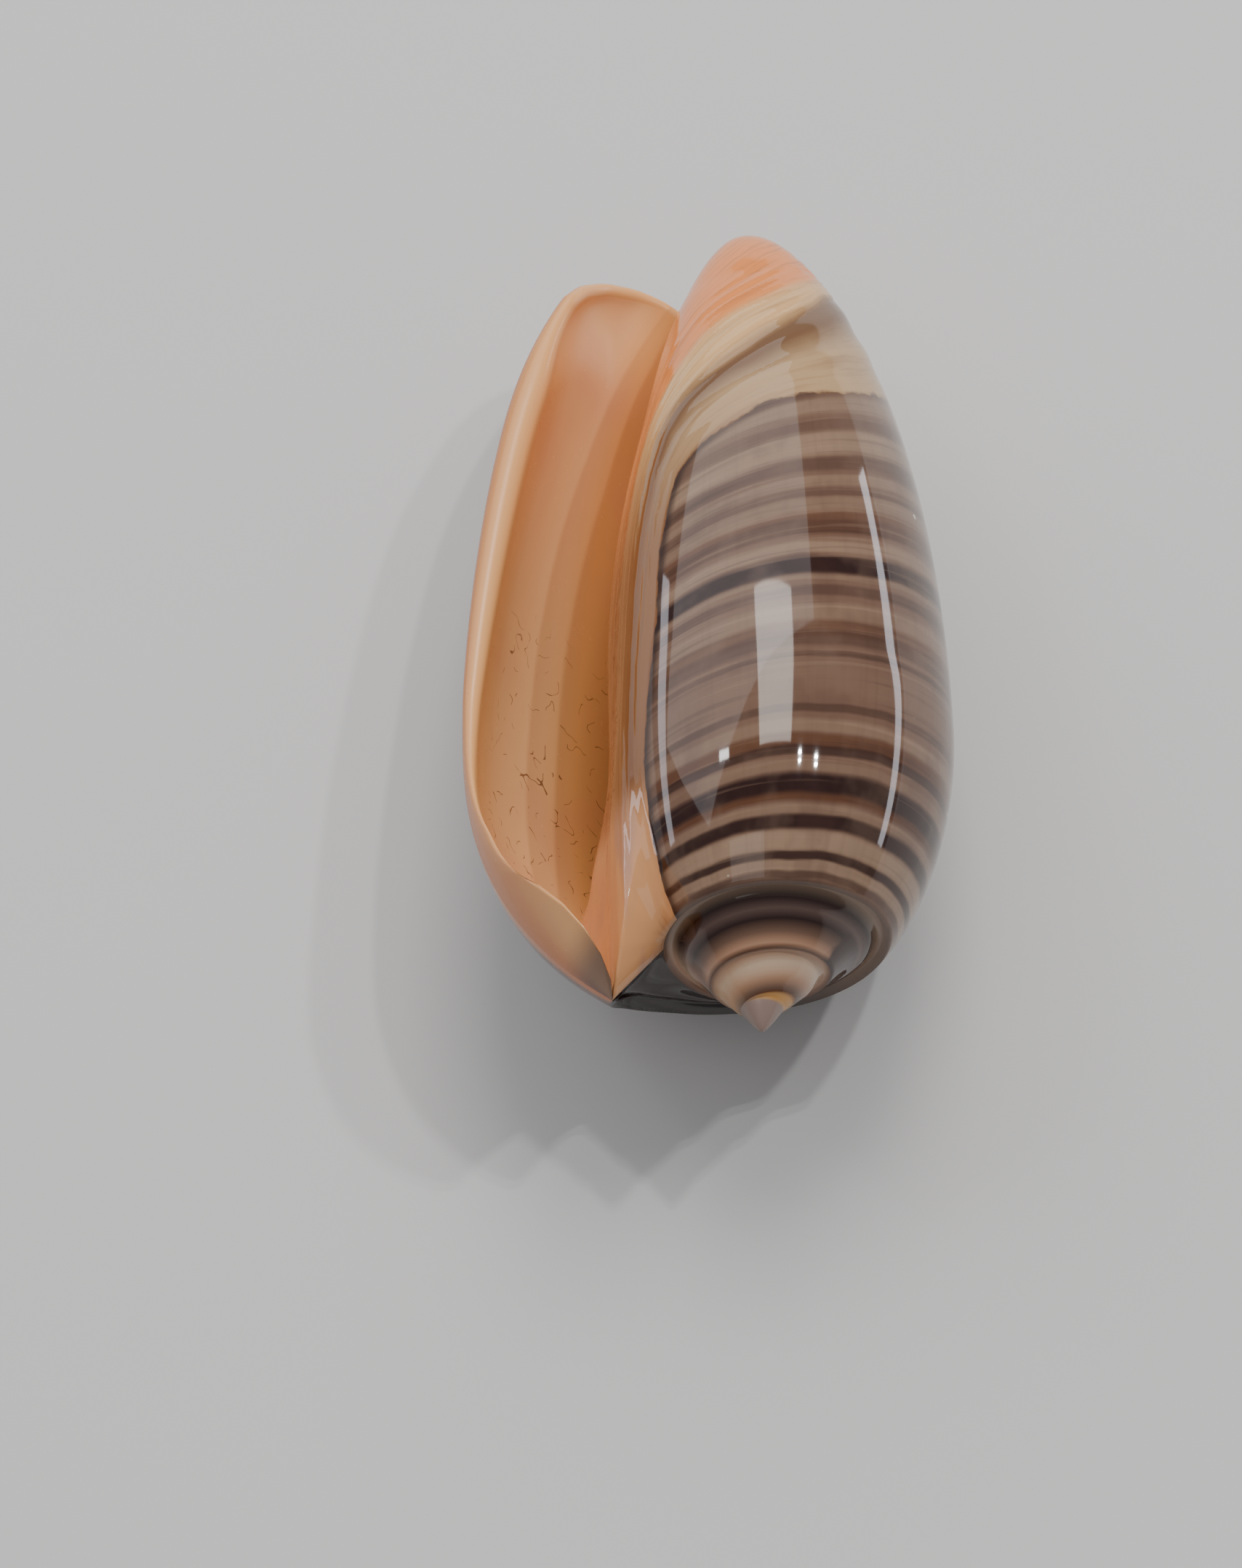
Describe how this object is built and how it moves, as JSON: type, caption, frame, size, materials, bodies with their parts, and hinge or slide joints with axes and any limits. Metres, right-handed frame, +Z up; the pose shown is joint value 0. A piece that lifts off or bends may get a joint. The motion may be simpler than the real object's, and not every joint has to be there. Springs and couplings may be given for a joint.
{
  "type": "olive sea snail shell",
  "caption": "Long, smooth oval sea snail shell with a short stepped spire, a narrow slit mouth down one side and a notched front end, lying on its back.",
  "frame": {"origin": "centre of the bounding box's base, on the plane the shell lies on", "axes": "+Y from the spire tip to the front end, +Z up through the side with the mouth, +X away from the lip"},
  "size_m": [0.023, 0.0456, 0.0191],
  "materials": {
    "shell": "glossy"
  },
  "bodies": {
    "root": {"shell": "shell"}
  },
  "joints": []
}
